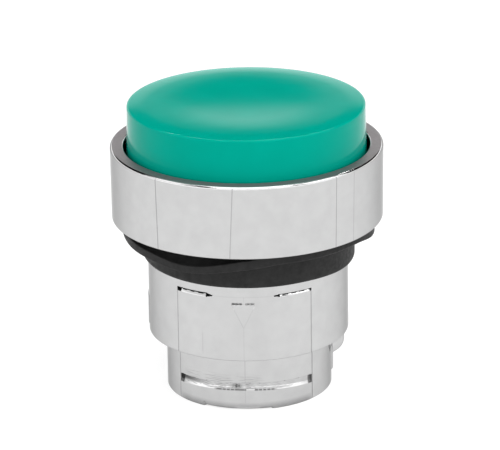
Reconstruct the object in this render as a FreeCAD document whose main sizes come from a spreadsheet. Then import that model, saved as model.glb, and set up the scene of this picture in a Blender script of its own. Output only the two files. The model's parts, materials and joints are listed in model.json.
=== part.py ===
import FreeCAD, Part
import math
import os
import re

import Sketcher
from FreeCAD import Placement, Rotation, Vector

# Operating head of a 22 mm panel push button: a sprung projecting cap in a plated head.
# Millimetres, +Z along the axis towards the cap, origin at the centre of the barrel's lower
# end. Azimuth 0 is the front (-Y), and azimuths grow towards +X.

SIZES = {
    # bezel
    "bezel_radius": 14.5,
    "bezel_foot_radius": 14.45,
    "bezel_bore": 13.05,
    "bezel_low": 19.1,
    "bezel_top": 27.0,
    "bezel_edge": 0.3,
    "bezel_lip": 0.2,
    # barrel
    "barrel_radius": 10.7,
    "spigot_radius": 8.85,
    "spigot_bore": 7.55,
    "barrel_bore": 9.3,
    "neck_radius": 10.45,
    "step_height": 6.3,
    "shelf_height": 7.4,
    "neck_low": 14.55,
    "flange_radius": 13.42,
    "flange_top": 20.3,
    "seat_radius": 9.7,
    "seat_low": 17.9,
    "step_edge": 0.4,
    "foot_edge": 0.25,
    # how far a raised feature starts inside its wall, or a cut runs past it
    "overlap": 0.5,
    # features on the barrel's outside
    "slot_low": 1.9,
    "slot_high": 2.85,
    "slot_root": 8.15,
    "slot_span": 104.8,
    "notch_low": 13.3,
    "notch_high": 13.65,
    "notch_root": 10.35,
    "notch_azimuth": 29.3,
    "notch_span": 23.8,
    "mark_high": 12.72,
    "mark_low": 10.04,
    "mark_half_width": 1.13,
    "mark_depth": 0.12,
    "lug_reach": 10.3,
    "lug_low_reach": 9.1,
    "lug_shoulder": 4.6,
    "lug_low": 2.9,
    "lug_span": 12.0,
    "pad_reach": 10.78,
    "pad_low": 7.1,
    "pad_high": 10.3,
    "pad_span": 18.0,
    # panel gasket
    "gasket_collar": 11.4,
    "gasket_low": 14.7,
    "gasket_flange": 13.35,
    "gasket_flange_low": 17.9,
    "gasket_edge": 0.25,
    "slip": 0.03,
    # guide plate, its ring and the spring's washer
    "guide_radius": 9.2,
    "guide_top": 9.4,
    "hub_radius": 4.4,
    "hub_top": 11.4,
    "stem_hole": 3.05,
    "keyway_radius": 3.8,
    "keyway_half_width": 0.7,
    "ring_groove": 9.75,
    "ring_groove_low": 9.45,
    "ring_groove_high": 10.2,
    "snap_ring_bore": 8.75,
    "snap_ring_radius": 9.7,
    "snap_ring_low": 9.5,
    "snap_ring_top": 10.1,
    "snap_ring_span": 315.0,
    "washer_bore": 4.6,
    "washer_radius": 6.7,
    "washer_top": 9.8,
    # seal
    "seal_radius": 9.67,
    "seal_web": 8.9,
    "seal_web_rise": 0.4,
    "seal_lip": 8.27,
    "seal_lip_height": 0.3,
    "seal_lip_lead": 0.3,
    "seal_lip_edge": 0.2,
    "seal_top": 19.1,
    "clamp_bore": 8.55,
    # stem
    "stem_radius": 3.0,
    "stem_low": 4.45,
    "stem_spigot": 2.48,
    "stem_land_low": 6.05,
    "stem_groove_low": 6.6,
    "stem_groove_high": 7.45,
    "stem_top": 27.55,
    "rib_radius": 3.7,
    "rib_half_width": 0.6,
    "rib_low": 7.6,
    "rib_top": 20.6,
    # circlip
    "clip_bore": 2.55,
    "clip_radius": 4.2,
    "clip_low": 6.65,
    "clip_top": 7.35,
    "clip_span": 285.0,
    # foot
    "foot_radius": 6.6,
    "foot_low": 4.4,
    "foot_top": 6.0,
    "foot_web_low": 5.2,
    "foot_hub": 3.7,
    "foot_rim": 5.7,
    "foot_bore": 2.5,
    "foot_rib_width": 0.9,
    "foot_rib_low": 4.6,
    "foot_rib_bite": 0.2,
    "foot_ribs": 6,
    # carrier
    "sleeve_radius": 8.2,
    "sleeve_bore": 6.9,
    "sleeve_low": 15.0,
    "carrier_radius": 11.0,
    "skirt_low": 24.9,
    "carrier_top": 26.3,
    "ceiling": 26.6,
    "boss_radius": 9.2,
    "boss_top": 28.5,
    "socket_radius": 4.6,
    "socket_low": 21.0,
    "socket_bore": 3.02,
    "socket_roof": 27.6,
    # cap
    "cap_radius": 12.62,
    "cap_skirt_radius": 12.75,
    "cap_bore": 11.4,
    "cap_edge": 0.2,
    "cap_snap_radius": 10.2,
    "cap_snap_bore": 9.3,
    "cap_snap_low": 26.45,
    "cap_top": 31.45,
    "dish_depth": 0.085,
    "dish_turn": 5.8,
    "dish_edge": 10.1,
    "crown_start": 10.45,
    "crown_drop": 0.055,
    # return spring
    "wire": 0.8,
    "coil_radius": 5.75,
    "coils": 8,
}

FRONT = 0.0
RIGHT = 90.0
LEFT = -90.0
FULL_TURN = 360.0

# Two lengths closer than this are the same: in a sketch, and on a finished shape.
SKETCH_TOLERANCE = 1e-6
SHAPE_TOLERANCE = 1e-4

doc = FreeCAD.newDocument("push_button_head")
sheet = doc.addObject("Spreadsheet::Sheet", "Sizes")


def fill_sheet():
    """Write every driving dimension to the sheet, one row each, with its name as alias."""
    for row, (name, value) in enumerate(SIZES.items(), start=1):
        sheet.set(f"A{row}", name)
        sheet.set(f"B{row}", str(value))
        sheet.setAlias(f"B{row}", name)
    doc.recompute()


def bound(expression):
    """The expression with each size name written as a reference to the sheet."""
    return re.sub(r"[a-z_]+", lambda m: f"Sizes.{m[0]}" if m[0] in SIZES else m[0], expression)


def number(expression):
    """The present value of an expression over the sheet's sizes."""
    return float(sheet.evalExpression(bound(expression)))


def new_body(label):
    """An empty body whose label is the name of its file."""
    body = doc.addObject("PartDesign::Body", label)
    body.Label = label
    return body


def origin_plane(body, role):
    """One of the body's own origin planes."""
    return next(plane for plane in body.Origin.OriginFeatures if plane.Role == role)


def pin_point(sketch, geometry, end, across, along):
    """Hold one end of a sketch line at two sheet expressions from the sketch's origin."""
    for axis_line, direction, expression in ((-2, "DistanceX", across), (-1, "DistanceY", along)):
        value = number(expression)
        if abs(value) < SKETCH_TOLERANCE:
            sketch.addConstraint(Sketcher.Constraint("PointOnObject", geometry, end, axis_line))
            continue
        if value > 0:
            constraint = Sketcher.Constraint(direction, -1, 1, geometry, end, value)
            index = sketch.addConstraint(constraint)
            sketch.setExpression(f"Constraints[{index}]", bound(expression))
            continue
        index = sketch.addConstraint(Sketcher.Constraint(direction, geometry, end, -1, 1, -value))
        sketch.setExpression(f"Constraints[{index}]", bound(f"-({expression})"))


def arc_between(start, finish, radius, side):
    """An arc of the given radius that bulges to the left of its run (side 1) or right (-1)."""
    chord = finish - start
    rise = radius - math.sqrt(radius**2 - (chord.Length / 2) ** 2)
    left = Vector(-chord.y, chord.x, 0).normalize()
    return Part.Arc(start, (start + finish) / 2 + left * rise * side, finish)


def outline(body, name, corners, role="XZ_Plane", azimuth=RIGHT, bends=None):
    """A closed outline through corners given as pairs of expressions.

    On the upright plane, the first expression is the distance from the axis towards the given
    azimuth. bends maps a side's index to its radius and the side to which it bulges.
    """
    sketch = body.newObject("Sketcher::SketchObject", name)
    sketch.AttachmentSupport = [(origin_plane(body, role), "")]
    sketch.MapMode = "FlatFace"
    if role == "XZ_Plane":
        sketch.AttachmentOffset = Placement(Vector(), Rotation(Vector(0, 1, 0), azimuth - RIGHT))
    places = [Vector(number(across), number(along), 0) for across, along in corners]
    count = len(places)
    ends = []
    for index, start in enumerate(places):
        finish = places[(index + 1) % count]
        if bends and index in bends:
            radius, side = bends[index]
            geometry = sketch.addGeometry(arc_between(start, finish, number(radius), side), False)
            forward = (sketch.getPoint(geometry, 1) - start).Length < SKETCH_TOLERANCE
            ends.append((1, 2) if forward else (2, 1))
            constraint = Sketcher.Constraint("Radius", geometry, number(radius))
            held = sketch.addConstraint(constraint)
            sketch.setExpression(f"Constraints[{held}]", bound(radius))
            continue
        sketch.addGeometry(Part.LineSegment(start, finish), False)
        ends.append((1, 2))
    for index in range(count):
        following = (index + 1) % count
        join = Sketcher.Constraint("Coincident", index, ends[index][1], following, ends[following][0])
        sketch.addConstraint(join)
    for index, (across, along) in enumerate(corners):
        pin_point(sketch, index, ends[index][0], across, along)
    return sketch


def turned(body, name, corners, kind="Revolution", span=None, azimuth=RIGHT, bends=None):
    """Revolve an outline about the body's Z axis, all round or over a span about an azimuth."""
    sketch = outline(body, f"{name}Profile", corners, azimuth=azimuth, bends=bends)
    feature = body.newObject(f"PartDesign::{kind}", name)
    feature.Profile = sketch
    feature.ReferenceAxis = (sketch, ["V_Axis"])
    feature.Angle = FULL_TURN
    if span:
        feature.Midplane = True
        feature.setExpression("Angle", bound(span))
    body.Tip = feature
    doc.recompute()
    return feature


def rectangle(inner, outer, low, high):
    """The corners of an upright rectangle, from expressions for its four sides."""
    return [(inner, low), (outer, low), (outer, high), (inner, high)]


def rings_at(shape, radius, height):
    """Names of the circular edges of one radius at one height."""
    names = []
    for index, edge in enumerate(shape.Edges, start=1):
        if edge.Degenerated or not isinstance(edge.Curve, Part.Circle):
            continue
        off = max(abs(edge.Curve.Radius - radius), abs(edge.Curve.Center.z - height))
        if off < SHAPE_TOLERANCE:
            names.append(f"Edge{index}")
    return names


def dressed(body, name, kind, radius, height, size):
    """Round or chamfer the rings at one radius and height."""
    base = body.Tip
    edges = rings_at(base.Shape, number(radius), number(height))
    feature = body.newObject(f"PartDesign::{kind}", name)
    feature.Base = (base, edges)
    feature.setExpression("Radius" if kind == "Fillet" else "Size", bound(size))
    body.Tip = feature
    doc.recompute()


def raised(body, name, kind, sketch, length, reverse=False, both_ways=False):
    """Pad or pocket a sketch by a bound length."""
    feature = body.newObject(f"PartDesign::{kind}", name)
    feature.Profile = sketch
    feature.setExpression("Length", bound(length))
    feature.Reversed = reverse
    if both_ways:
        feature.SideType = "Symmetric"
    body.Tip = feature
    doc.recompute()
    return feature


def make_bezel_ring():
    """Plated ring: straight side, flat top, and a counterbore pressed over the flange."""
    body = new_body("bezel_ring")
    corners = [
        ("flange_radius + slip", "bezel_low"),
        ("bezel_foot_radius", "bezel_low"),
        ("bezel_radius", "bezel_top"),
        ("bezel_bore", "bezel_top"),
        ("bezel_bore", "flange_top"),
        ("flange_radius + slip", "flange_top"),
    ]
    turned(body, "BezelTurned", corners)
    dressed(body, "BezelTopEdge", "Fillet", "bezel_radius", "bezel_top", "bezel_edge")
    dressed(body, "BezelInnerLip", "Chamfer", "bezel_bore", "bezel_top", "bezel_lip")
    dressed(body, "BezelFootEdge", "Fillet", "bezel_foot_radius", "bezel_low", "bezel_lip")
    return body


def make_barrel():
    """Plated casting: flange, neck, upper barrel and the smaller spigot, bored right through."""
    body = new_body("barrel")
    corners = [
        ("spigot_bore", "0"),
        ("spigot_radius", "0"),
        ("spigot_radius", "step_height"),
        ("barrel_radius", "step_height"),
        ("barrel_radius", "neck_low"),
        ("neck_radius", "neck_low"),
        ("neck_radius", "bezel_low"),
        ("flange_radius", "bezel_low"),
        ("flange_radius", "flange_top"),
        ("seat_radius", "flange_top"),
        ("seat_radius", "seat_low"),
        ("barrel_bore", "seat_low"),
        ("barrel_bore", "ring_groove_high"),
        ("ring_groove", "ring_groove_high"),
        ("ring_groove", "ring_groove_low"),
        ("barrel_bore", "ring_groove_low"),
        ("barrel_bore", "shelf_height"),
        ("spigot_bore", "shelf_height"),
    ]
    turned(body, "BarrelTurned", corners)
    dressed(body, "StepEdge", "Fillet", "barrel_radius", "step_height", "step_edge")
    dressed(body, "SpigotEdge", "Fillet", "spigot_radius", "0", "foot_edge")
    slot = rectangle("slot_root", "barrel_radius", "slot_low", "slot_high")
    turned(body, "CollarSlot", slot, "Groove", "slot_span", FRONT)
    for name, side in (("LeftNotch", -1), ("RightNotch", 1)):
        notch = rectangle("notch_root", "gasket_collar", "notch_low", "notch_high")
        azimuth = side * number("notch_azimuth")
        turned(body, name, notch, "Groove", "notch_span", azimuth)
    side_pad = rectangle("barrel_bore + overlap", "pad_reach", "pad_low", "pad_high")
    turned(body, "SidePad", side_pad, "Revolution", "pad_span", LEFT)
    lug = [
        ("spigot_bore + overlap", "lug_low"),
        ("lug_low_reach", "lug_low"),
        ("lug_reach", "lug_shoulder"),
        ("lug_reach", "step_height + overlap"),
        ("spigot_bore + overlap", "step_height + overlap"),
    ]
    turned(body, "CollarLug", lug, "Revolution", "lug_span", RIGHT)
    make_triangle_mark(body)
    return body


def make_triangle_mark(body):
    """Shallow downward triangle that shows which way up the head goes in its panel."""
    corners = [
        ("0 - mark_half_width", "mark_high"),
        ("0", "mark_low"),
        ("mark_half_width", "mark_high"),
    ]
    sketch = outline(body, "MarkProfile", corners)
    sketch.setExpression(".AttachmentOffset.Base.z", bound("barrel_radius - mark_depth"))
    raised(body, "OrientationMark", "Pocket", sketch, "mark_depth + overlap", reverse=True)


def make_panel_gasket():
    """Rubber gasket: a flange between bezel and panel, and a collar for the panel's hole."""
    body = new_body("panel_gasket")
    corners = [
        ("neck_radius + slip", "gasket_low"),
        ("gasket_collar", "gasket_low"),
        ("gasket_collar", "gasket_flange_low"),
        ("gasket_flange", "gasket_flange_low"),
        ("gasket_flange", "bezel_low"),
        ("neck_radius + slip", "bezel_low"),
    ]
    turned(body, "GasketTurned", corners)
    dressed(body, "CollarEdge", "Fillet", "gasket_collar", "gasket_low", "gasket_edge")
    dressed(body, "FlangeEdge", "Fillet", "gasket_flange", "gasket_flange_low", "gasket_edge")
    return body


def make_guide_plate():
    """Moulded plate on the barrel's shelf, with the stem's bore and its two keyways."""
    body = new_body("guide_plate")
    corners = [
        ("stem_hole", "shelf_height"),
        ("guide_radius", "shelf_height"),
        ("guide_radius", "guide_top"),
        ("hub_radius", "guide_top"),
        ("hub_radius", "hub_top"),
        ("stem_hole", "hub_top"),
    ]
    turned(body, "GuideTurned", corners)
    keyways = outline(
        body,
        "KeywayProfile",
        rectangle(
            "0 - keyway_radius", "keyway_radius", "0 - keyway_half_width", "keyway_half_width"
        ),
        role="XY_Plane",
    )
    raised(body, "Keyways", "Pocket", keyways, "hub_top + overlap", reverse=True)
    return body


def make_guide_snap_ring():
    """Open steel ring in the barrel's groove, above the guide plate."""
    body = new_body("guide_snap_ring")
    corners = rectangle("snap_ring_bore", "snap_ring_radius", "snap_ring_low", "snap_ring_top")
    turned(body, "SnapRingTurned", corners, span="snap_ring_span", azimuth=FRONT)
    return body


def make_spring_seat_washer():
    """Steel washer that spreads the spring's load on the guide plate."""
    body = new_body("spring_seat_washer")
    corners = rectangle("washer_bore", "washer_radius", "guide_top", "washer_top")
    turned(body, "WasherTurned", corners)
    return body


def make_wiper_seal():
    """Rubber ring whose lip wipes the carrier's sleeve."""
    body = new_body("wiper_seal")
    corners = [
        ("seal_web", "seat_low"),
        ("seal_radius", "seat_low"),
        ("seal_radius", "seal_top"),
        ("seal_lip + seal_lip_lead", "seal_top"),
        ("seal_lip", "seal_top - seal_lip_edge"),
        ("seal_lip", "seal_top - seal_lip_edge - seal_lip_height"),
        ("seal_web", "seat_low + seal_web_rise"),
    ]
    turned(body, "SealTurned", corners)
    return body


def make_seal_clamp_ring():
    """Ring pressed into the barrel's mouth, above the seal."""
    body = new_body("seal_clamp_ring")
    corners = rectangle("clamp_bore", "seal_radius", "seal_top", "flange_top")
    turned(body, "ClampTurned", corners)
    dressed(body, "ClampLead", "Chamfer", "clamp_bore", "flange_top", "bezel_lip")
    return body


def make_return_spring():
    """Round-wire compression spring between the washer and the carrier's ceiling."""
    body = new_body("return_spring")
    sketch = body.newObject("Sketcher::SketchObject", "WireSection")
    sketch.AttachmentSupport = [(origin_plane(body, "XZ_Plane"), "")]
    sketch.MapMode = "FlatFace"
    centre = Vector(number("coil_radius"), number("washer_top + wire / 2"), 0)
    circle = Part.Circle(centre, Vector(0, 0, 1), number("wire / 2"))
    wire = sketch.addGeometry(circle, False)
    held = sketch.addConstraint(Sketcher.Constraint("Radius", wire, circle.Radius))
    sketch.setExpression(f"Constraints[{held}]", bound("wire / 2"))
    pin_point(sketch, wire, 3, "coil_radius", "washer_top + wire / 2")
    coil = body.newObject("PartDesign::AdditiveHelix", "Coil")
    coil.Profile = sketch
    coil.ReferenceAxis = (sketch, ["V_Axis"])
    coil.Mode = "height-turns-angle"
    coil.setExpression("Height", bound("ceiling - washer_top - wire"))
    coil.setExpression("Turns", bound("coils"))
    body.Tip = coil
    doc.recompute()
    return body


def make_plunger():
    """Stem from the carrier's socket down to the foot, with its clip's groove and two ribs."""
    body = new_body("plunger")
    corners = [
        ("0", "stem_low"),
        ("stem_spigot", "stem_low"),
        ("stem_spigot", "stem_land_low"),
        ("stem_radius", "stem_land_low"),
        ("stem_radius", "stem_groove_low"),
        ("stem_spigot", "stem_groove_low"),
        ("stem_spigot", "stem_groove_high"),
        ("stem_radius", "stem_groove_high"),
        ("stem_radius", "stem_top"),
        ("0", "stem_top"),
    ]
    turned(body, "StemTurned", corners)
    for name, azimuth in (("RightRib", RIGHT), ("LeftRib", LEFT)):
        corners = rectangle("stem_radius - overlap", "rib_radius", "rib_low", "rib_top")
        sketch = outline(body, f"{name}Profile", corners, azimuth=azimuth)
        raised(body, name, "Pad", sketch, "rib_half_width * 2", both_ways=True)
    return body


def make_stem_circlip():
    """Open clip in the stem's groove. It meets the guide plate and so sets the rest position."""
    body = new_body("stem_circlip")
    corners = rectangle("clip_bore", "clip_radius", "clip_low", "clip_top")
    turned(body, "ClipTurned", corners, span="clip_span", azimuth=FRONT)
    return body


def make_actuator_foot():
    """Moulded foot on the stem's lower end, with a hub, a rim and ribs between them."""
    body = new_body("actuator_foot")
    corners = [
        ("foot_bore", "foot_low"),
        ("foot_hub", "foot_low"),
        ("foot_hub", "foot_web_low"),
        ("foot_rim", "foot_web_low"),
        ("foot_rim", "foot_low"),
        ("foot_radius", "foot_low"),
        ("foot_radius", "foot_top"),
        ("foot_bore", "foot_top"),
    ]
    turned(body, "FootTurned", corners)
    inner, outer = "foot_hub - foot_rib_bite", "foot_rim + foot_rib_bite"
    rib = rectangle(inner, outer, "foot_rib_low", "foot_web_low + foot_rib_bite")
    sketch = outline(body, "FootRibProfile", rib)
    pad = raised(body, "FootRib", "Pad", sketch, "foot_rib_width", both_ways=True)
    pattern = body.newObject("PartDesign::PolarPattern", "FootRibs")
    pattern.Originals = [pad]
    pattern.Axis = (sketch, ["V_Axis"])
    pattern.Angle = FULL_TURN
    pattern.setExpression("Occurrences", bound("foot_ribs"))
    body.Tip = pattern
    doc.recompute()
    return body


def make_cap_carrier():
    """Moulded carrier: the sleeve that runs in the seal, the plate and boss under the cap."""
    body = new_body("cap_carrier")
    corners = [
        ("socket_bore", "socket_low"),
        ("socket_radius", "socket_low"),
        ("socket_radius", "ceiling"),
        ("sleeve_bore", "ceiling"),
        ("sleeve_bore", "sleeve_low"),
        ("sleeve_radius", "sleeve_low"),
        ("sleeve_radius", "skirt_low"),
        ("carrier_radius", "skirt_low"),
        ("carrier_radius", "carrier_top"),
        ("boss_radius", "carrier_top"),
        ("boss_radius", "boss_top"),
        ("0", "boss_top"),
        ("0", "socket_roof"),
        ("socket_bore", "socket_roof"),
    ]
    turned(body, "CarrierTurned", corners)
    return body


def make_button_cap():
    """Moulded cap: a shallow dish, a level ring round it and a slightly crowned border."""
    body = new_body("button_cap")
    slope = "2 * atan(dish_depth / dish_edge)"
    hollow = f"dish_turn / sin({slope})"
    shoulder = f"(dish_edge - dish_turn) / sin({slope})"
    turn_height = "cap_top - dish_depth * (dish_edge - dish_turn) / dish_edge"
    crown = "((cap_radius - crown_start)^2 + crown_drop^2) / (2 * crown_drop)"
    rim = "cap_top - crown_drop"
    corners = [
        ("cap_bore", "skirt_low"),
        ("cap_skirt_radius", "skirt_low"),
        ("cap_radius", rim),
        ("crown_start", "cap_top"),
        ("dish_edge", "cap_top"),
        ("dish_turn", turn_height),
        ("0", "cap_top - dish_depth"),
        ("0", "boss_top"),
        ("cap_snap_bore", "boss_top"),
        ("cap_snap_bore", "cap_snap_low"),
        ("cap_snap_radius", "cap_snap_low"),
        ("cap_snap_radius", "boss_top"),
        ("cap_bore", "boss_top"),
    ]
    turned(body, "CapTurned", corners, bends={2: (crown, -1), 4: (shoulder, -1), 5: (hollow, 1)})
    dressed(body, "CapEdge", "Fillet", "cap_radius", rim, "cap_edge")
    return body


def check_document():
    """Stop if any object failed, or if any body is not one valid solid."""
    doc.recompute()
    failed = [item.Name for item in doc.Objects if {"Invalid", "Error"} & set(item.State)]
    if failed:
        raise RuntimeError(f"failed objects: {failed}")
    for body in bodies:
        shape = body.Shape
        if shape.isNull() or not shape.isValid() or len(shape.Solids) != 1:
            raise RuntimeError(f"{body.Label} is not one valid solid")


def check_features_count():
    """Stop if a pad, pocket, groove or pattern left its body's volume as it was."""
    kinds = (
        "Pad", "Pocket", "Groove", "Revolution", "AdditiveHelix", "PolarPattern", "Fillet",
        "Chamfer",
    )
    for body in bodies:
        before = 0.0
        for feature in body.Group:
            if feature.TypeId not in [f"PartDesign::{kind}" for kind in kinds]:
                continue
            if abs(feature.Shape.Volume - before) < SHAPE_TOLERANCE:
                raise RuntimeError(f"{feature.Name} changes nothing")
            before = feature.Shape.Volume


fill_sheet()
bodies = [
    make_bezel_ring(),
    make_barrel(),
    make_panel_gasket(),
    make_guide_plate(),
    make_guide_snap_ring(),
    make_spring_seat_washer(),
    make_wiper_seal(),
    make_seal_clamp_ring(),
    make_return_spring(),
    make_plunger(),
    make_stem_circlip(),
    make_actuator_foot(),
    make_cap_carrier(),
    make_button_cap(),
]
check_document()
check_features_count()
os.makedirs("parts", exist_ok=True)
for body in bodies:
    body.Shape.exportStep(f"parts/{body.Label}.step")
    box = body.Shape.BoundBox
    print(f"{body.Label}: {body.Shape.Volume:.1f} mm3, z {box.ZMin:.2f} to {box.ZMax:.2f}")
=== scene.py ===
import json
import math

import bpy
import numpy as np
from mathutils import Matrix, Vector


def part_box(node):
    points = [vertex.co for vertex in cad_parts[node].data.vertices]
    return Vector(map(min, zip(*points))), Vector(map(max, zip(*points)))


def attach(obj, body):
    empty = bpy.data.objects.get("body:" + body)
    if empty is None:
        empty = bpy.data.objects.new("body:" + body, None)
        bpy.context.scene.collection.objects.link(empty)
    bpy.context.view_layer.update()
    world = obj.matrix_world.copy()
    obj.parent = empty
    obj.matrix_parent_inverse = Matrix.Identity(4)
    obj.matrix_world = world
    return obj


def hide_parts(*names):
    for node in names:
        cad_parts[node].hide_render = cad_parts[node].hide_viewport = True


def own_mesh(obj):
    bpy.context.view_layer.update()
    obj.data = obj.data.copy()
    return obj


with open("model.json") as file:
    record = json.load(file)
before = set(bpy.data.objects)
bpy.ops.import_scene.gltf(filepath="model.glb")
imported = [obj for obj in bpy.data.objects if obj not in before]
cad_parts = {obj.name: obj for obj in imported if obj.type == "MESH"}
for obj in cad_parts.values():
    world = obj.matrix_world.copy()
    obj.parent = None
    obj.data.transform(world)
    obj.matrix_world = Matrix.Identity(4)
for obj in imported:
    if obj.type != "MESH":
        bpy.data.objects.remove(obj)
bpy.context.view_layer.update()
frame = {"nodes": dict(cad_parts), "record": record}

# Operating head of a panel push button. Lengths in this file are in millimetres, and MM turns
# them into the scene's metres. Azimuths are in degrees: 0 is the front (-Y), + is towards +X.

MM = 0.001


def box_mm(node):
    """Lowest and highest corner of a CAD node, in millimetres."""
    low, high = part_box(node)
    return low / MM, high / MM


BEZEL_LOW, BEZEL_HIGH = box_mm("bezel_ring")
CAP_LOW, CAP_HIGH = box_mm("button_cap")
GASKET_LOW, GASKET_HIGH = box_mm("panel_gasket")
BARREL_LOW, BARREL_HIGH = box_mm("barrel")
SPRING_LOW, SPRING_HIGH = box_mm("return_spring")

BEZEL_RADIUS = BEZEL_HIGH.x
BEZEL_BORE = 13.05
FLANGE_TOP = BARREL_HIGH.z
FLANGE_RADIUS = BARREL_HIGH.x
BARREL_RADIUS = 10.7
BARREL_BORE = 9.3
NECK_RADIUS = 10.45
SHOULDER = 14.55
BARREL_ROW = 0.06
STEP_HEIGHT = 6.3
SHELF_HEIGHT = 7.4
SPIGOT_RADIUS = 8.85
SPIGOT_BORE = 7.55
PATCH_HALF_WIDTH = 7.03
PATCH_OFFSET = 0.15

CAMERA_AZIMUTH = 2.15
CAMERA_ELEVATION = 19.92
CAMERA_ROLL = -0.77
CAMERA_DISTANCE = 413.8
CAMERA_LENS = 279.7
SENSOR_WIDTH = 36.0
AIM_RIGHT = 0.27
AIM_DOWN = 1.33
LIGHT_TARGET = 0.015


# ---------------------------------------------------------------- mesh building

SHARP_ANGLE = 40.0


def rounded(corners, steps=6, support=0.05):
    """A closed profile through (radius, height, rounding) corners, each turned by an arc."""
    points = []
    count = len(corners)
    for index, (radius, height, rounding) in enumerate(corners):
        corner = Vector((radius, height))
        before = Vector(corners[index - 1][:2]) - corner
        after = Vector(corners[(index + 1) % count][:2]) - corner
        if rounding <= 0:
            points.append(tuple(corner))
            continue
        turn = before.angle(after)
        reach = rounding / math.tan(turn / 2)
        towards_before = before.normalized()
        towards_after = after.normalized()
        centre = corner + (towards_before + towards_after).normalized() * (
            rounding / math.sin(turn / 2)
        )
        first = corner + towards_before * reach - centre
        last = corner + towards_after * reach - centre
        sweep = first.angle_signed(last)
        points.append(tuple(corner + towards_before * (reach + support)))
        for step in range(steps + 1):
            arm = first.copy()
            arm.rotate(Matrix.Rotation(-sweep * step / steps, 2))
            points.append(tuple(centre + arm))
        points.append(tuple(corner + towards_after * (reach + support)))
    return points


def ring_of_azimuths(count, extra=()):
    """Evenly spaced azimuths with some more where a shape needs them, in order."""
    even = np.arange(count) * 360.0 / count - 180.0
    return np.unique(np.round(np.concatenate([even, np.array(extra, float)]), 4))


def new_piece(name, vertices, faces):
    """A smooth-shaded mesh object from vertices in millimetres, with its sharp edges kept."""
    mesh = bpy.data.meshes.new(name)
    mesh.from_pydata((np.array(vertices, float) * MM).tolist(), [], faces)
    mesh.validate()
    mesh.shade_smooth()
    mesh.set_sharp_from_angle(angle=math.radians(SHARP_ANGLE))
    piece = bpy.data.objects.new(name, mesh)
    bpy.context.scene.collection.objects.link(piece)
    return piece


def lathe(name, profile, azimuths, shape=None, closed=True):
    """Turn a profile of (radius, height) points about Z.

    shape(azimuth, radius, height) returns those arrays with the points moved, and how far the
    surface is darkened there, from 0 to 1: real marks, and painted shade. A closed profile makes a
    ring. An open one starts and ends on the axis.
    """
    radius, height = np.array(profile, float).T
    azimuth, radius = np.meshgrid(azimuths, radius)
    height = np.repeat(height[:, None], len(azimuths), axis=1)
    mark_and_shade_darkening = np.zeros_like(radius)
    if shape:
        azimuth, radius, height, mark_and_shade_darkening = shape(azimuth, radius, height)
    angle = np.radians(azimuth)
    points = np.stack([radius * np.sin(angle), -radius * np.cos(angle), height], axis=-1)
    rows, columns = radius.shape
    vertices = points.reshape(-1, 3).tolist()
    index = np.arange(rows * columns).reshape(rows, columns)
    below = index if closed else index[:-1]
    above = np.roll(index, -1, axis=0) if closed else index[1:]
    corners = [below, np.roll(below, -1, axis=1), np.roll(above, -1, axis=1), above]
    faces = np.stack(corners, axis=-1).reshape(-1, 4).tolist()
    if not closed:
        for row, turn in ((0, -1), (rows - 1, 1)):
            centre = len(vertices)
            vertices.append((0.0, 0.0, profile[row][1]))
            ring = index[row]
            faces += [
                (a, b, centre)[::turn] for a, b in zip(ring.tolist(), np.roll(ring, -1).tolist())
            ]
    piece = new_piece(name, vertices, faces)
    marks_and_shade = piece.data.attributes.new("marks_and_shade", "FLOAT", "POINT")
    values = np.zeros(len(vertices))
    values[: mark_and_shade_darkening.size] = mark_and_shade_darkening.reshape(-1)
    marks_and_shade.data.foreach_set("value", values)
    return piece


def eased(value, low, high):
    """0 below low, 1 above high, and a smooth rise between."""
    share = np.clip((value - low) / (high - low), 0.0, 1.0)
    return share * share * (3 - 2 * share)


# ---------------------------------------------------------------- materials

NOISE_DETAIL = 3.0
# A noise texture stays mostly within this range, which is spread over the values it drives.
NOISE_LOW, NOISE_HIGH = 0.3, 0.7
# A Mix node's sockets for its two inputs and its result, by kind of value.
MIX_SOCKETS = {"RGBA": (6, 7, 2), "FLOAT": (2, 3, 0)}


def shader(name, colour, roughness, metallic=0.0, specular=0.5):
    """A new material with a Principled shader, and its node tree."""
    material = bpy.data.materials.new(name)
    material.use_nodes = True
    nodes = material.node_tree.nodes
    principled = next(node for node in nodes if node.type == "BSDF_PRINCIPLED")
    principled.inputs["Base Color"].default_value = (*colour, 1.0)
    principled.inputs["Roughness"].default_value = roughness
    principled.inputs["Metallic"].default_value = metallic
    principled.inputs["Specular IOR Level"].default_value = specular
    return material, principled


def noise(material, size):
    """A noise texture whose features are about size millimetres across."""
    nodes, links = material.node_tree.nodes, material.node_tree.links
    place = nodes.new("ShaderNodeTexCoord")
    texture = nodes.new("ShaderNodeTexNoise")
    texture.inputs["Scale"].default_value = 1.0 / (size * MM)
    texture.inputs["Detail"].default_value = NOISE_DETAIL
    links.new(place.outputs["Object"], texture.inputs["Vector"])
    return texture


def vary(material, principled, socket, texture, low, high):
    """Drive a socket of one number between low and high by a texture."""
    nodes, links = material.node_tree.nodes, material.node_tree.links
    spread = nodes.new("ShaderNodeMapRange")
    spread.inputs["From Min"].default_value = NOISE_LOW
    spread.inputs["From Max"].default_value = NOISE_HIGH
    spread.inputs["To Min"].default_value = low
    spread.inputs["To Max"].default_value = high
    links.new(texture.outputs["Fac"], spread.inputs["Value"])
    links.new(spread.outputs["Result"], principled.inputs[socket])


def tint(material, principled, texture, dark, light):
    """Drive the base colour between two colours by a texture."""
    nodes, links = material.node_tree.nodes, material.node_tree.links
    ramp = nodes.new("ShaderNodeValToRGB")
    ramp.color_ramp.elements[0].position = NOISE_LOW
    ramp.color_ramp.elements[0].color = (*dark, 1.0)
    ramp.color_ramp.elements[1].position = NOISE_HIGH
    ramp.color_ramp.elements[1].color = (*light, 1.0)
    links.new(texture.outputs["Fac"], ramp.inputs["Fac"])
    links.new(ramp.outputs["Color"], principled.inputs["Base Color"])


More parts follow.
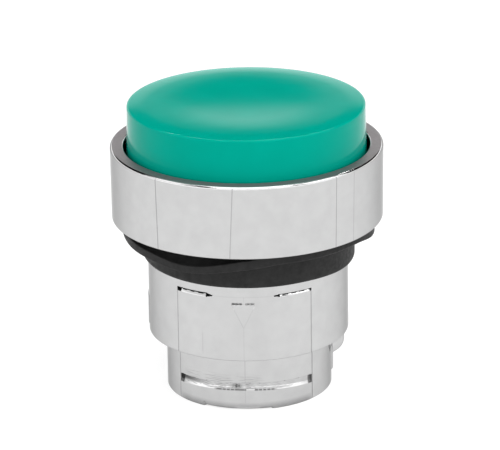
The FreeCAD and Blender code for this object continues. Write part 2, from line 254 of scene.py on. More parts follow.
def bump(material, principled, texture, height):
    """Raise the surface by up to height millimetres of a texture."""
    nodes, links = material.node_tree.nodes, material.node_tree.links
    relief = nodes.new("ShaderNodeBump")
    relief.inputs["Strength"].default_value = 1.0
    relief.inputs["Distance"].default_value = height * MM
    links.new(texture.outputs["Fac"], relief.inputs["Height"])
    links.new(relief.outputs["Normal"], principled.inputs["Normal"])


def darken_marks_and_shade(material, principled, dark, rough):
    """Darken and roughen a material where its mesh's attribute says so: on marks, and where shade is
    painted.
    """
    nodes, links = material.node_tree.nodes, material.node_tree.links
    marks_and_shade = nodes.new("ShaderNodeAttribute")
    marks_and_shade.attribute_name = "marks_and_shade"
    for socket, kind, value in (("Base Color", "RGBA", (*dark, 1.0)), ("Roughness", "FLOAT", rough)):
        bright = principled.inputs[socket].links[0].from_socket
        blend = nodes.new("ShaderNodeMix")
        blend.data_type = kind
        first, second, result = MIX_SOCKETS[kind]
        links.new(marks_and_shade.outputs["Fac"], blend.inputs[0])
        links.new(bright, blend.inputs[first])
        blend.inputs[second].default_value = value
        links.new(blend.outputs[result], principled.inputs[socket])


def chrome_material():
    """Bright plating: faint orange-peel relief, darkened along casting seams and marks, and with shade
    painted into its cuts and hollows, under the bezel and behind the gasket.
    """
    material, principled = shader("chrome_plate", (0.53, 0.53, 0.53), 0.09, metallic=1.0)
    principled.inputs["Specular Tint"].default_value = (0.55, 0.55, 0.55, 1.0)
    tint(material, principled, noise(material, 1.6), (0.515, 0.515, 0.516), (0.545, 0.545, 0.546))
    vary(material, principled, "Roughness", noise(material, 0.5), 0.07, 0.12)
    bump(material, principled, noise(material, 0.7), 0.0012)
    # Near-black and rough where the mesh's attribute says so: marks, and painted shade.
    darken_marks_and_shade(material, principled, (0.006, 0.006, 0.006), 0.5)
    return material


def satin_material():
    """Plating with a softer, greyer finish, as on the bezel's turned top face."""
    # The faint pink in this grey is painted to offset the green light the cap throws onto the top face.
    material, principled = shader("satin_plate", (0.142, 0.126, 0.13), 0.42, metallic=0.5)
    tint(material, principled, noise(material, 1.1), (0.137, 0.121, 0.125), (0.147, 0.131, 0.135))
    vary(material, principled, "Roughness", noise(material, 0.4), 0.36, 0.46)
    bump(material, principled, noise(material, 0.5), 0.0004)
    return material


def cap_material():
    """Green moulded plastic with a satin skin."""
    material, principled = shader("green_plastic", (0.0, 0.26, 0.195), 0.06)
    principled.inputs["IOR"].default_value = 1.17
    principled.inputs["Specular Tint"].default_value = (0.1, 1.0, 0.9, 1.0)
    tint(material, principled, noise(material, 2.5), (0.0, 0.254, 0.19), (0.0, 0.266, 0.2))
    vary(material, principled, "Roughness", noise(material, 0.6), 0.045, 0.07)
    bump(material, principled, noise(material, 0.25), 0.0003)
    return material


def rubber_material():
    """Matte black rubber with a fine grain."""
    material, principled = shader("black_rubber", (0.012, 0.012, 0.012), 0.6, specular=0.2)
    tint(material, principled, noise(material, 0.9), (0.009, 0.009, 0.009), (0.016, 0.016, 0.016))
    vary(material, principled, "Roughness", noise(material, 0.4), 0.5, 0.7)
    bump(material, principled, noise(material, 0.12), 0.006)
    return material


def nylon_material():
    """Black moulded nylon."""
    material, principled = shader("black_nylon", (0.02, 0.02, 0.022), 0.45)
    tint(material, principled, noise(material, 1.5), (0.017, 0.017, 0.018), (0.026, 0.026, 0.028))
    vary(material, principled, "Roughness", noise(material, 0.5), 0.38, 0.52)
    bump(material, principled, noise(material, 0.2), 0.003)
    return material


def acetal_material():
    """Natural white acetal."""
    material, principled = shader("white_acetal", (0.78, 0.76, 0.7), 0.35)
    tint(material, principled, noise(material, 2.0), (0.75, 0.73, 0.67), (0.8, 0.78, 0.72))
    vary(material, principled, "Roughness", noise(material, 0.6), 0.3, 0.4)
    bump(material, principled, noise(material, 0.3), 0.002)
    return material


def steel_material():
    """Drawn spring steel with fine lines along the wire."""
    material, principled = shader("spring_steel", (0.5, 0.5, 0.5), 0.25, metallic=1.0)
    tint(material, principled, noise(material, 0.5), (0.45, 0.45, 0.45), (0.56, 0.56, 0.56))
    vary(material, principled, "Roughness", noise(material, 0.3), 0.2, 0.34)
    bump(material, principled, noise(material, 0.15), 0.002)
    return material


def dress(piece, material):
    """Give a piece this one material."""
    piece.data.materials.clear()
    piece.data.materials.append(material)


# ---------------------------------------------------------------- pieces

# Draw marks on the bezel: azimuth at mid height, lean to the top in degrees, and strength, which is how
# dark the shade painted into each mark's fine groove is.
DRAW_MARKS = ((-38.4, -0.4, 0.42), (-4.6, 0.8, 0.3), (41.7, 0.2, 0.36), (52.1, 0.25, 0.2))
DRAW_MARK_SPACING = 0.22
DRAW_MARK_DEPTH = 0.03
BEZEL_WEAR = 0.012


def make_bezel(material, top_material):
    """Plated ring with a flat satin top, a fine bright inner lip and four hairline draw marks, with
    shade painted into the marks' grooves and over the ring's underside.
    """
    socket_radius = FLANGE_RADIUS + 0.03
    foot_radius = BEZEL_RADIUS - 0.05
    profile = rounded(
        [
            (socket_radius, BEZEL_LOW.z, 0.1),
            (foot_radius, BEZEL_LOW.z, 0.15),
            (BEZEL_RADIUS, BEZEL_HIGH.z, 0.3),
            (BEZEL_BORE, BEZEL_HIGH.z, 0.18),
            (BEZEL_BORE, FLANGE_TOP, 0.0),
            (socket_radius, FLANGE_TOP, 0.0),
        ]
    )
    steps = np.arange(-4, 5) * DRAW_MARK_SPACING
    extra = [mark + step for mark, _, _ in DRAW_MARKS for step in steps]
    middle = (BEZEL_LOW.z + BEZEL_HIGH.z) / 2
    half_height = BEZEL_HIGH.z - middle

    def draw_marks(azimuth, radius, height):
        on_side = (radius > BEZEL_RADIUS - 0.06) & (height < BEZEL_HIGH.z - 0.1)
        up = (height - middle) / half_height
        lean, mark_and_shade_darkening = np.zeros_like(azimuth), np.zeros_like(azimuth)
        for mark, tilt, strength in DRAW_MARKS:
            nearby = hairline(azimuth - mark, 6 * DRAW_MARK_SPACING)
            lean = lean + tilt * up * nearby
            line = hairline(azimuth - mark, 1.6 * DRAW_MARK_SPACING)
            # Painted shade: each draw mark's shallow groove is darkened along its line.
            mark_and_shade_darkening = mark_and_shade_darkening + line * strength * on_side
        # Painted shade: the ring's underside is darkened in full.
        underside = height < BEZEL_LOW.z + 0.01
        on_edge = (radius > BEZEL_RADIUS - 0.32) & (height > BEZEL_HIGH.z - 0.36)
        worn_and_shaded = BEZEL_WEAR * on_edge * (ripple(azimuth * 0.25, height, 0.11) - 0.5)
        radius = radius - DRAW_MARK_DEPTH * mark_and_shade_darkening + np.minimum(worn_and_shaded, BEZEL_RADIUS - radius)
        return azimuth + lean, radius, height, np.maximum(mark_and_shade_darkening, underside)

    piece = lathe("bezel", profile, ring_of_azimuths(720, extra), draw_marks)
    dress(piece, material)
    piece.data.materials.append(top_material)
    for face in piece.data.polygons:
        face.material_index = int(face.normal.z > 0.99 and face.center.z > BEZEL_HIGH.z * MM * 0.999)
    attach(piece, "housing")
    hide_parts("bezel_ring")


def make_cap(material):
    """Moulded cap: shallow dish, level ring, crowned border, small edge radius, tapered skirt."""
    top, depth, dish_turn, dish_edge = CAP_HIGH.z, 0.085, 5.8, 10.1
    cap_radius, edge, crown_start, crown_drop = 12.62, 0.2, 10.45, 0.055
    skirt, foot_edge, middle = CAP_HIGH.x, 0.25, 0.02
    skirt_bore, socket_outer, socket_inner = 11.4, 10.2, 9.3
    socket_low, ceiling = CAP_LOW.z + 1.55, CAP_HIGH.z - 2.8
    slope = 2 * math.atan(depth / dish_edge)
    hollow = dish_turn / math.sin(slope)
    shoulder = (dish_edge - dish_turn) / math.sin(slope)
    crown = ((cap_radius - crown_start) ** 2 + crown_drop**2) / (2 * crown_drop)
    last = cap_radius - edge
    profile = []
    for radius in np.linspace(middle, dish_turn, 18):
        profile.append((radius, top - depth + hollow - math.sqrt(hollow**2 - radius**2)))
    for radius in np.linspace(dish_turn, dish_edge, 14)[1:]:
        fall = shoulder - math.sqrt(shoulder**2 - (dish_edge - radius) ** 2)
        profile.append((radius, top - fall))
    for radius in np.linspace(crown_start, last, 14):
        fall = crown - math.sqrt(crown**2 - (radius - crown_start) ** 2)
        profile.append((radius, top - fall))
    corner_height = profile[-1][1] - edge
    for step in range(1, 9):
        turn = math.radians(90 * step / 8)
        profile.append((last + edge * math.sin(turn), corner_height + edge * math.cos(turn)))
    for height in np.linspace(corner_height, CAP_LOW.z + foot_edge, 10)[1:]:
        share_down = (corner_height - height) / (corner_height - CAP_LOW.z)
        profile.append((cap_radius + (skirt - cap_radius) * share_down, height))
    for step in range(1, 6):
        turn = math.radians(90 * step / 5)
        out = skirt - foot_edge + foot_edge * math.cos(turn)
        profile.append((out, CAP_LOW.z + foot_edge - foot_edge * math.sin(turn)))
    profile += [
        (skirt_bore, CAP_LOW.z),
        (skirt_bore, ceiling),
        (socket_outer, ceiling),
        (socket_outer, socket_low),
        (socket_inner, socket_low),
        (socket_inner, ceiling),
        (middle, ceiling),
    ]
    piece = lathe("cap", profile[::-1], ring_of_azimuths(192), closed=False)
    dress(piece, material)
    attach(piece, "button")
    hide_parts("button_cap")


# How far the gasket's flange has crept down: azimuth and drop.
CREEP = (
    (-180, 0), (-110, 0), (-92, 0.3), (-78, 0.75), (-64, 1.05), (-45, 1.2), (-31, 1.62),
    (-22, 1.53), (-15, 1.3), (-5, 0.82), (4, 0.45), (16, 0), (58, 0), (66, 0.15), (74, 0.6),
    (82, 0.95), (96, 1.0), (120, 0.6), (150, 0), (180, 0),
)
CREEP_SMOOTHING = 13
GASKET_ROW = 0.35


def make_gasket(material):
    """Rubber gasket whose flange has crept down off the bezel at the front left."""
    collar, flange = 11.4, GASKET_HIGH.x
    inner = NECK_RADIUS + 0.03
    flange_low = GASKET_HIGH.z - 1.2
    corners = [
        (inner, GASKET_LOW.z, 0.1),
        (collar, GASKET_LOW.z, 0.35),
        (collar, flange_low, 0.25),
        (flange, flange_low, 0.22),
        (flange, GASKET_HIGH.z, 0.12),
        (inner, GASKET_HIGH.z, 0.0),
    ]
    profile = []
    raw = rounded(corners)
    for index, point in enumerate(raw):
        following = raw[(index + 1) % len(raw)]
        gap = math.dist(point, following)
        pieces = max(1, round(gap / GASKET_ROW))
        for step in range(pieces):
            blend = step / pieces
            profile.append(tuple(a + (b - a) * blend for a, b in zip(point, following)))

    def crept(azimuth, radius, height):
        drop = np.interp(azimuth, *zip(*CREEP))
        kernel = np.hanning(CREEP_SMOOTHING)
        kernel = kernel / kernel.sum()
        margin = CREEP_SMOOTHING // 2
        padded = np.concatenate([drop[:, -margin:], drop, drop[:, :margin]], axis=1)
        drop = np.array([np.convolve(row, kernel, mode="valid") for row in padded])
        out = eased(radius, collar - 0.3, flange)
        above = eased(height, flange_low - 1.2, GASKET_HIGH.z)
        hang = 0.95 + 0.05 * eased(height, flange_low, GASKET_HIGH.z)
        low_share = eased(radius, inner + 0.3, collar) * (1 - eased(height, GASKET_LOW.z, flange_low))
        height = height - drop * out * hang * above**0.3
        radius = radius - 0.28 * low_share * np.clip(drop, 0, 1) * (azimuth < 0)
        radius = radius + drop * out * np.where(azimuth > 0, 0.2, -0.02)
        settled = 0.3 * eased(azimuth, 30, 75) * (1 - eased(azimuth, 110, 160))
        height = height - settled * (1 - eased(height, GASKET_LOW.z, flange_low))
        radius = np.where(height < SHOULDER + 0.05, np.maximum(radius, BARREL_RADIUS + 0.02), radius)
        wobble = 0.03 * np.sin(np.radians(azimuth * 3 + 40)) * eased(radius, collar, flange)
        height = np.minimum(height + wobble * above, GASKET_HIGH.z)
        return azimuth, radius, height, np.zeros_like(radius)

    piece = lathe("gasket", profile, ring_of_azimuths(240), crept)
    dress(piece, material)
    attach(piece, "housing")
    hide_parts("panel_gasket")


SLOT_LOW, SLOT_HIGH = 1.9, 2.85
SLOT_DEPTH = 0.13
NOTCH_MIDDLE = 13.5
SEAM_HALF_WIDTH = 0.06
# The triangle mark: its dashes' height, and its sides' top, tip and half width.
MARK_TOP, MARK_START, MARK_LOW, MARK_HALF = 12.72, 12.5, 10.04, 1.2
RIB_HEIGHT, RIB_LOW = 0.17, 1.5
LUG_HEIGHT, LUG_AZIMUTH, LUG_HALF_SPAN = 1.38, 91.5, 6.6
LUG_EAR_TOP, LUG_EAR_FALL = 4.75, 1.5
PAD_HEIGHT, PAD_AZIMUTH, PAD_HALF_SPAN = 0.075, -90, 9


def inside(value, low, high, soft=0.03):
    """1 between low and high and 0 outside, with edges that rise over a soft width."""
    return eased(value, low - soft, low + soft) * (1 - eased(value, high - soft, high + soft))


def hairline(distance, half_width=SEAM_HALF_WIDTH):
    """1 on a line, falling smoothly to 0 at its half width."""
    share = np.clip(np.abs(distance) / half_width, 0.0, 1.0)
    return (1 - share**2) ** 2


def ripple(across, along, size):
    """An uneven field between 0 and 1 with features of about the given size."""
    u, v = across / size, along / size
    total = np.sin(2.1 * u + 1.3 * np.sin(1.7 * v)) + np.sin(2.9 * v + 1.1 * np.sin(2.3 * u) + 2)
    total = total + np.sin(4.7 * u + 3.1 * v + 1) * 0.7
    return np.clip(0.5 + total / 4.4, 0.0, 1.0)


def cut_notch(azimuth, height, tip, low, high):
    """Depth and darkening of one wedge notch: a deep slit with painted shade, over a bright sloping
    ledge.
    """
    open_share = np.clip((np.abs(azimuth) - tip) / 4.5, 0.0, 1.0)
    top = NOTCH_MIDDLE + (high - NOTCH_MIDDLE) * open_share
    bottom = NOTCH_MIDDLE - (NOTCH_MIDDLE - low) * open_share
    within = (open_share > 0) & (height < top) & (height > bottom)
    down = (top - height) / np.maximum(top - bottom, 0.01)
    slit_share = 0.18 + 0.3 * ripple(azimuth * 0.19, np.zeros_like(height), 0.35)
    slit_share = np.where((open_share < 1) | (np.abs(azimuth) > 39.3), 1.1, slit_share)
    slit = within & (down < slit_share)
    depth = np.where(slit, 0.45, within * 0.2 * (1 - down))
    # Painted shade: the slit is darkened almost to black.
    return depth, slit * 0.97


def cut_slot(across, height):
    """Depth and darkening of the collar's slot: a cove with shade painted at its ends and along its
    upper edge, grey streaks and a smudge, and a ragged lower lip.
    """
    bow = 1 - (across / PATCH_HALF_WIDTH) ** 2
    low, high = SLOT_LOW + 0.42 * bow, SLOT_HIGH + 0.2 * bow
    within = (np.abs(across) < PATCH_HALF_WIDTH) & (height > low) & (height < high)
    down = (high - height) / (high - low)
    depth = within * SLOT_DEPTH * np.clip((1 - down) / 0.4, 0, 1)
    grain = ripple(across, height * 2, 0.12)
    streaks = ripple(across * 0.45, height * 1.6, 0.13) - 0.5
    depth = depth + within * 0.014 * streaks * (down < 0.75) * (1 - 0.7 * eased(across, 0.5, 1.5))
    # Painted shade: the slot's ends are darkened, with grain.
    ends = 1 - inside(across, 0.4 - PATCH_HALF_WIDTH, PATCH_HALF_WIDTH - 0.4, 0.05)
    smudge = np.exp(-(((across + 0.9) / 0.45) ** 2) - ((down - 0.45) / 0.3) ** 2)
    smear = eased(-across, 3.6, 6.6) * (1 - eased(down, 0.3, 0.75))
    mark_and_shade_darkening = within * np.clip(ends * (0.6 + 0.4 * grain) + 1.9 * smudge * grain + 0.8 * smear, 0, 0.95)
    flecks = eased(ripple(across * 0.16, (height - low) * 2 + 1, 0.08), 0.45, 0.85)
    mark_and_shade_darkening = np.maximum(mark_and_shade_darkening, within * flecks * 0.4 * (1 - 0.5 * eased(across, 0.5, 1.5)) * (down < 0.8))
    lip = hairline(height - low, 0.12) * inside(across, -3.2, 3.2, 0.3) * (1 - inside(across, 0.1, 1.0))
    dashes = eased(ripple(across, np.zeros_like(height), 0.16), 0.25, 0.45)
    # Painted shade: a thin dark line under the slot's upper edge.
    edge = hairline(height - high, 0.045) * 0.3 * (np.abs(across) < PATCH_HALF_WIDTH)
    return depth, np.maximum(np.maximum(mark_and_shade_darkening, lip * dashes * 0.95), edge)


def patch_relief(azimuth, radius, height):
    """Depth and darkening of everything on the side-core patch, over the barrel's outside: seams and
    marks, and painted shade in the notches, slot and triangle mark's top and towards the bottom edge.
    """
    across = radius * np.sin(np.radians(azimuth)) + PATCH_OFFSET
    front = np.abs(azimuth) < 90
    on_patch = front & (np.abs(across) < PATCH_HALF_WIDTH) & (height < NOTCH_MIDDLE)
    border = hairline(np.abs(across) - PATCH_HALF_WIDTH, 0.075) * front
    border = border * inside(height, 0.15, NOTCH_MIDDLE)
    depth = border * 0.03 - on_patch * 0.012
    mark_and_shade_darkening = border * np.where(across > 0, 0.5, 0.34)

    for side, tip, low, high in ((-1, 18.2, 13.31, 13.75), (1, 15.7, 13.37, 13.63)):
        cut, dark = cut_notch(azimuth, height, tip, low, high)
        here = (azimuth * side > 0) & (np.abs(across) < PATCH_HALF_WIDTH)
        depth, mark_and_shade_darkening = np.maximum(depth, cut * here), np.maximum(mark_and_shade_darkening, dark * here)
    top_line = hairline(height - NOTCH_MIDDLE) * inside(azimuth, -18, 15.5, 1) * 0.1
    mark_and_shade_darkening = np.maximum(mark_and_shade_darkening, top_line)

    reach = MARK_HALF * (height - MARK_LOW) / (MARK_START - MARK_LOW)
    sides = hairline(np.abs(across) - reach, 0.05) * inside(height, MARK_LOW, MARK_START)
    mark_and_shade_darkening = np.maximum(mark_and_shade_darkening, sides * np.where(across < 0, 0.22, 0.14))
    recess = (np.abs(across) < np.minimum(reach, MARK_HALF)) & (height < MARK_TOP)
    recess &= height > MARK_LOW
    depth = depth + recess * 0.05 * (height - MARK_LOW) / (MARK_TOP - MARK_LOW)
    # Painted shade: a ragged dark dash under the triangle's top edge, over a shallow step.
    dash = hairline(height - MARK_TOP, 0.22) * eased(ripple(across, height * 2, 0.13), 0.1, 0.35)
    dash = dash * np.maximum(inside(across, -1.25, -0.15, 0.04), 0.8 * inside(across, 0.2, 1.15, 0.04))
    depth, mark_and_shade_darkening = depth + dash * 0.04, np.maximum(mark_and_shade_darkening, dash * 0.98)

    seam = hairline(across, 0.05) * front
    upper = inside(height, 12.95, 13.5) + inside(height, 6.4, MARK_LOW)
    seam = seam * (0.11 * upper + 0.24 * inside(height, 3.1, 6.1) + 0.14 * inside(height, 0.3, 2.3))
    mark_and_shade_darkening = np.maximum(mark_and_shade_darkening, seam)
    short = hairline(azimuth + 25, 0.3) * inside(height, 7.0, 9.2, 0.5) * 0.14
    mark_and_shade_darkening = np.maximum(mark_and_shade_darkening, short)

    cut, dark = cut_slot(across, height)
    lower = front & (height < STEP_HEIGHT - 0.2)
    depth, mark_and_shade_darkening = np.where(lower, depth + cut, depth), np.maximum(mark_and_shade_darkening, dark * lower)
    blister = inside(across, -6.2, 1.6, 0.9) * inside(height, 3.05, 4.0, 0.35) * lower
    depth = depth + blister * 0.022 * (ripple(across * 0.5, height * 1.6, 0.13) - 0.5)
    bowed = height + 0.45 * (across / PATCH_HALF_WIDTH) ** 2
    scratches = eased(ripple(across * 0.09, bowed * 1.2, 0.11), 0.5, 0.9)
    fading = 1 - 0.75 * eased(height, 3.1, 4.1)
    mark_and_shade_darkening = np.maximum(mark_and_shade_darkening, blister * scratches * 0.36 * fading * on_patch)

    middle = inside(azimuth, -31, 18, 0.6)
    depth = depth + on_patch * middle * 1.3 * np.maximum(0.28 - height, 0)
    # Painted shade towards the patch's bottom edge: a soft darkening over its lowest 0.9 mm, lighter in
    # a strip at the middle, together with a dark spot at the middle zone's left corner.
    corner = np.exp(-(((azimuth + 31) / 2.2) ** 2) - ((height - 0.42) / 0.18) ** 2) * 0.5
    worn_and_shaded = 0.55 * np.clip((0.88 - height) / 0.85, 0, 1) * inside(azimuth, -52, 50, 6)
    worn_and_shaded = worn_and_shaded * (1 - 0.75 * inside(azimuth, -8, 9, 2.5) * (height < 0.36))
    mark_and_shade_darkening = np.maximum(mark_and_shade_darkening, np.maximum(corner, worn_and_shaded) * on_patch)
    return depth * front, mark_and_shade_darkening * front


def make_barrel(material):
    """Plated casting with its side-core patch, slot, notches, triangle mark, pad and lug."""
    seat_radius, seat_height = 9.7, 17.9
    groove_radius, groove_low, groove_high = 9.75, 9.45, 10.2
    corners = [
        (SPIGOT_BORE, 0.0, 0.1),
        (SPIGOT_RADIUS, 0.0, 0.12),
        (SPIGOT_RADIUS, STEP_HEIGHT, 0.1),
        (BARREL_RADIUS, STEP_HEIGHT, 0.18),
        (BARREL_RADIUS, SHOULDER, 0.0),
        (NECK_RADIUS, SHOULDER, 0.0),
        (NECK_RADIUS, BEZEL_LOW.z, 0.0),
        (FLANGE_RADIUS, BEZEL_LOW.z, 0.1),
        (FLANGE_RADIUS, FLANGE_TOP, 0.1),
        (seat_radius, FLANGE_TOP, 0.1),
        (seat_radius, seat_height, 0.0),
        (BARREL_BORE, seat_height, 0.0),
        (BARREL_BORE, groove_high, 0.0),
        (groove_radius, groove_high, 0.0),
        (groove_radius, groove_low, 0.0),
        (BARREL_BORE, groove_low, 0.0),
        (BARREL_BORE, SHELF_HEIGHT, 0.0),
        (SPIGOT_BORE, SHELF_HEIGHT, 0.0),
    ]
    profile = rounded(corners)
    outline = []
    for index, (radius, height) in enumerate(profile):
        outline.append((radius, height))
        next_radius, next_height = profile[(index + 1) % len(profile)]
        outer_wall = abs(next_radius - radius) < 1e-6 and height < next_height < SHOULDER + 0.01
        if outer_wall and radius >= SPIGOT_RADIUS:
            parts = math.ceil((next_height - height) / BARREL_ROW)
            rise = (next_height - height) / parts
            outline += [(radius, height + rise * part) for part in range(1, parts)]
    fine = np.arange(-56, 56, 0.3)
    beside = np.arange(-12, 12.1, 0.6)

    def outside(azimuth, radius, height):
        outer = (radius > SPIGOT_RADIUS - 0.2) & (height < SHOULDER)
        outer &= (radius > NECK_RADIUS) | (height < STEP_HEIGHT + 0.01)
        depth, mark_and_shade_darkening = patch_relief(azimuth, radius, height)
        from_lug, from_pad = azimuth - LUG_AZIMUTH, azimuth - PAD_AZIMUTH
        crown = np.clip(1 - (from_lug / LUG_HALF_SPAN) ** 2, 0, 1)
        ear = np.sqrt(1 - np.clip((LUG_EAR_TOP - height) / LUG_EAR_FALL, 0, 1) ** 2)
        lug = LUG_HEIGHT * crown * ear * (height < STEP_HEIGHT)
        rib = RIB_HEIGHT * inside(from_lug, -8, 8, 2.4) * inside(height, RIB_LOW, STEP_HEIGHT, 0.06)
        on_spigot = radius < 9
        pad = PAD_HEIGHT * inside(from_pad, -PAD_HALF_SPAN, PAD_HALF_SPAN, 0.5)
        pad = pad * inside(height, 7.1, 10.3, 0.08)
        radius = radius + outer * (np.maximum(lug, rib) * on_spigot + pad - depth)
        # Painted shade: the neck and flange hidden behind the gasket and bezel are darkened in full.
        behind_gasket = (radius > BARREL_BORE + 0.5) & (height > SHOULDER + 0.2)
        return azimuth, radius, height, np.maximum(mark_and_shade_darkening * outer, behind_gasket)

    azimuths = ring_of_azimuths(144, [*fine, *(beside + 90), *(beside - 90)])
    piece = lathe("barrel_body", outline, azimuths, outside)
    dress(piece, material)
    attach(piece, "housing")
    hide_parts("barrel")


def make_spring(material):
    """Compression spring with closed, ground ends."""
    wire, coil_radius, closed_turns, active_turns = 0.8, 5.75, 1.0, 7.0
    low, high = SPRING_LOW.z, SPRING_HIGH.z
    start, finish = low + wire * 0.35, high - wire * 0.35
    total = 2 * closed_turns + active_turns
    steps = int(total * 32)
    turns = np.linspace(0, total, steps + 1)
    end_pitch = wire * 1.02
    active_pitch = (finish - start - 2 * closed_turns * end_pitch) / active_turns
    pitch = np.where((turns < closed_turns) | (turns > total - closed_turns), end_pitch, active_pitch)
    pitch = np.convolve(np.pad(pitch, 6, mode="edge"), np.ones(13) / 13, mode="valid")
    rise = np.concatenate([[0], np.cumsum((pitch[1:] + pitch[:-1]) / 2 * np.diff(turns))])
    heights = start + rise / rise[-1] * (finish - start)
    vertices, faces, sides = [], [], 14
    for turn, height in zip(turns, heights):
        angle = 2 * math.pi * turn
        out = Vector((math.cos(angle), math.sin(angle), 0.0))
        for side in range(sides):
            around = 2 * math.pi * side / sides
            arm = out * math.cos(around) + Vector((0, 0, 1)) * math.sin(around)
            point = out * coil_radius + Vector((0, 0, height)) + arm * wire / 2
            point.z = min(max(point.z, low), high)
            vertices.append(tuple(point))
    for step in range(steps):
        for side in range(sides):
            following = (side + 1) % sides
            a, b = step * sides, (step + 1) * sides
            faces.append((a + side, b + side, b + following, a + following))
    faces.append(tuple(range(sides)))
    faces.append(tuple(steps * sides + side for side in reversed(range(sides))))
    piece = new_piece("spring", vertices, faces)
    dress(piece, material)
    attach(piece, "housing")
    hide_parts("return_spring")
    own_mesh(piece)


def finish_cad_nodes(materials):
    """Materials and softened edges for the pieces that stay as the CAD made them."""
    slots = {row["node"]: row["material_slot"] for row in frame["record"]["subparts"]}
    for name, node in frame["nodes"].items():
        if node.hide_render:
            continue
        dress(node, materials[slots[name]])
        soften = node.modifiers.new("soft_edges", "BEVEL")
        soften.width = 0.08 * MM
        soften.segments = 2
        soften.limit_method = "ANGLE"
        soften.angle_limit = math.radians(50)


# ---------------------------------------------------------------- stage


def camera_axes():
    """The camera's right, up and backward directions, with its small roll."""
    azimuth, elevation = math.radians(CAMERA_AZIMUTH), math.radians(CAMERA_ELEVATION)
    back = Vector(
        (
            math.sin(azimuth) * math.cos(elevation),
            -math.cos(azimuth) * math.cos(elevation),
            math.sin(elevation),
        )
    )
    right = Vector((math.cos(azimuth), math.sin(azimuth), 0.0))
    up = back.cross(right)
    roll = math.radians(CAMERA_ROLL)
    rolled_right = right * math.cos(roll) + up * math.sin(roll)
    rolled_up = up * math.cos(roll) - right * math.sin(roll)
    return rolled_right, rolled_up, back


def make_camera():
    """A long lens that looks at the middle of the bezel's foot from the front and above."""
    right, up, back = camera_axes()
    aim = Vector((0, 0, BEZEL_LOW.z)) + right * AIM_RIGHT - up * AIM_DOWN
    camera = bpy.data.cameras.new("camera")
    camera.lens = CAMERA_LENS
    camera.sensor_width = SENSOR_WIDTH
    camera.clip_start = 0.01
    camera.clip_end = 20.0
    holder = bpy.data.objects.new("camera", camera)
    bpy.context.scene.collection.objects.link(holder)
    place = Matrix((right, up, back)).transposed().to_4x4()
    place.translation = (aim + back * CAMERA_DISTANCE) * MM
    holder.matrix_world = place
    bpy.context.scene.camera = holder


def make_floor():
    """Plain pale floor, lit evenly from within as well, so that it shows next to no shadow."""
    half = 4.0
    mesh = bpy.data.meshes.new("floor")
    corners = [(-half, -half, 0), (half, -half, 0), (half, half, 0), (-half, half, 0)]
    mesh.from_pydata(corners, [], [(0, 1, 2, 3)])
    floor = bpy.data.objects.new("floor", mesh)
    bpy.context.scene.collection.objects.link(floor)
    material, principled = shader("floor", (0.35, 0.35, 0.35), 0.9, specular=0.0)
    principled.inputs["Emission Color"].default_value = (1.0, 1.0, 1.0, 1.0)
    principled.inputs["Emission Strength"].default_value = 0.69
    dress(floor, material)


def softbox(name, azimuth, elevation, distance, size, power):
    """A soft rectangular light that faces the head, placed by direction and distance in metres."""
    light = bpy.data.lights.new(name, "AREA")
    light.shape = "RECTANGLE"
    light.size, light.size_y = size
    light.energy = power
    holder = bpy.data.objects.new(name, light)
    bpy.context.scene.collection.objects.link(holder)
    around, up = math.radians(azimuth), math.radians(elevation)
    outwards = Vector(
        (math.sin(around) * math.cos(up), -math.cos(around) * math.cos(up), math.sin(up))
    )
    holder.location = Vector((0, 0, LIGHT_TARGET)) + outwards * distance
    holder.rotation_mode = "QUATERNION"
    holder.rotation_quaternion = outwards.to_track_quat("Z", "Y")


# Brightness of the surround by elevation in degrees, before the head and behind it.
SURROUND_FRONT = ((0, 2.1), (13, 2.1), (16, 1.2), (26, 1.1), (30, 0.1), (40, 0.0))
SURROUND_BACK = ((0, 0.6), (8, 1.2), (12, 2.8), (17.3, 0.92), (18.2, 0.0), (40, 0.0), (46, 0.57))
SURROUND_PEAK = 3.0
SURROUND_TURN = 0.3
# The bright lower band behind the head rises to both sides of this direction.
BAND_MIDDLE, BAND_REACH, BAND_RISE = -0.039, 0.25, 0.2


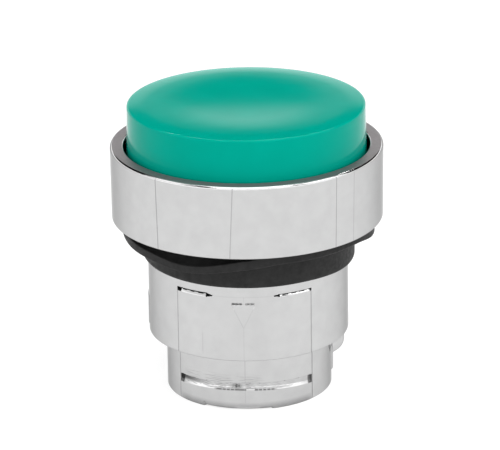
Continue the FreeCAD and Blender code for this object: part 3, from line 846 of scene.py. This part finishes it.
def make_world():
    """Soft surround, one gradient before the head and another behind it, blended at the sides."""
    world = bpy.data.worlds.new("surround")
    bpy.context.scene.world = world
    world.use_nodes = True
    nodes, links = world.node_tree.nodes, world.node_tree.links
    background = next(node for node in nodes if node.type == "BACKGROUND")
    background.inputs["Strength"].default_value = SURROUND_PEAK
    place = nodes.new("ShaderNodeTexCoord")
    split = nodes.new("ShaderNodeSeparateXYZ")
    links.new(place.outputs["Generated"], split.inputs["Vector"])
    turn = nodes.new("ShaderNodeMapRange")
    turn.inputs["From Min"].default_value = -SURROUND_TURN
    turn.inputs["From Max"].default_value = SURROUND_TURN
    links.new(split.outputs["Y"], turn.inputs["Value"])
    blend = nodes.new("ShaderNodeMix")
    blend.data_type = "RGBA"
    links.new(turn.outputs["Result"], blend.inputs[0])

    def reckon(operation, first, second):
        node = nodes.new("ShaderNodeMath")
        node.operation = operation
        links.new(first, node.inputs[0])
        if isinstance(second, float):
            node.inputs[1].default_value = second
        else:
            links.new(second, node.inputs[1])
        return node.outputs["Value"]

    aside = reckon("SUBTRACT", split.outputs["X"], BAND_MIDDLE)
    aside = reckon("ABSOLUTE", aside, 0.0)
    aside = reckon("MINIMUM", aside, BAND_REACH)
    lifted = reckon("SUBTRACT", split.outputs["Z"], reckon("MULTIPLY", aside, BAND_RISE))
    before, behind, result = MIX_SOCKETS["RGBA"]
    for socket, stops, height in (
        (before, SURROUND_FRONT, split.outputs["Z"]),
        (behind, SURROUND_BACK, lifted),
    ):
        ramp = nodes.new("ShaderNodeValToRGB")
        elements = ramp.color_ramp.elements
        while len(elements) < len(stops):
            elements.new(0.5)
        for element, (elevation, level) in zip(elements, stops):
            share = level / SURROUND_PEAK
            element.position = math.sin(math.radians(elevation))
            element.color = (share, share, share, 1.0)
        links.new(height, ramp.inputs["Fac"])
        links.new(ramp.outputs["Color"], blend.inputs[socket])
    links.new(blend.outputs[result], background.inputs["Color"])


def build():
    """Make every piece, then the stage."""
    materials = {
        "chrome_plate": chrome_material(),
        "green_plastic": cap_material(),
        "black_rubber": rubber_material(),
        "black_nylon": nylon_material(),
        "white_acetal": acetal_material(),
        "spring_steel": steel_material(),
    }
    make_bezel(materials["chrome_plate"], satin_material())
    make_barrel(materials["chrome_plate"])
    make_gasket(materials["black_rubber"])
    make_cap(materials["green_plastic"])
    make_spring(materials["spring_steel"])
    finish_cad_nodes(materials)
    make_camera()
    make_floor()
    softbox("key", azimuth=8, elevation=50, distance=0.9, size=(0.9, 0.5), power=5.05)
    softbox("left", azimuth=-80, elevation=45, distance=0.9, size=(0.6, 0.5), power=1.7)
    softbox("right", azimuth=80, elevation=45, distance=0.9, size=(0.6, 0.5), power=2.6)
    softbox("overhead", azimuth=0, elevation=88, distance=0.9, size=(0.6, 0.6), power=2.5)
    softbox("rim", azimuth=180, elevation=43, distance=0.9, size=(0.45, 0.08), power=2.0)
    make_world()
    bpy.context.scene.view_settings.view_transform = "Standard"


build()
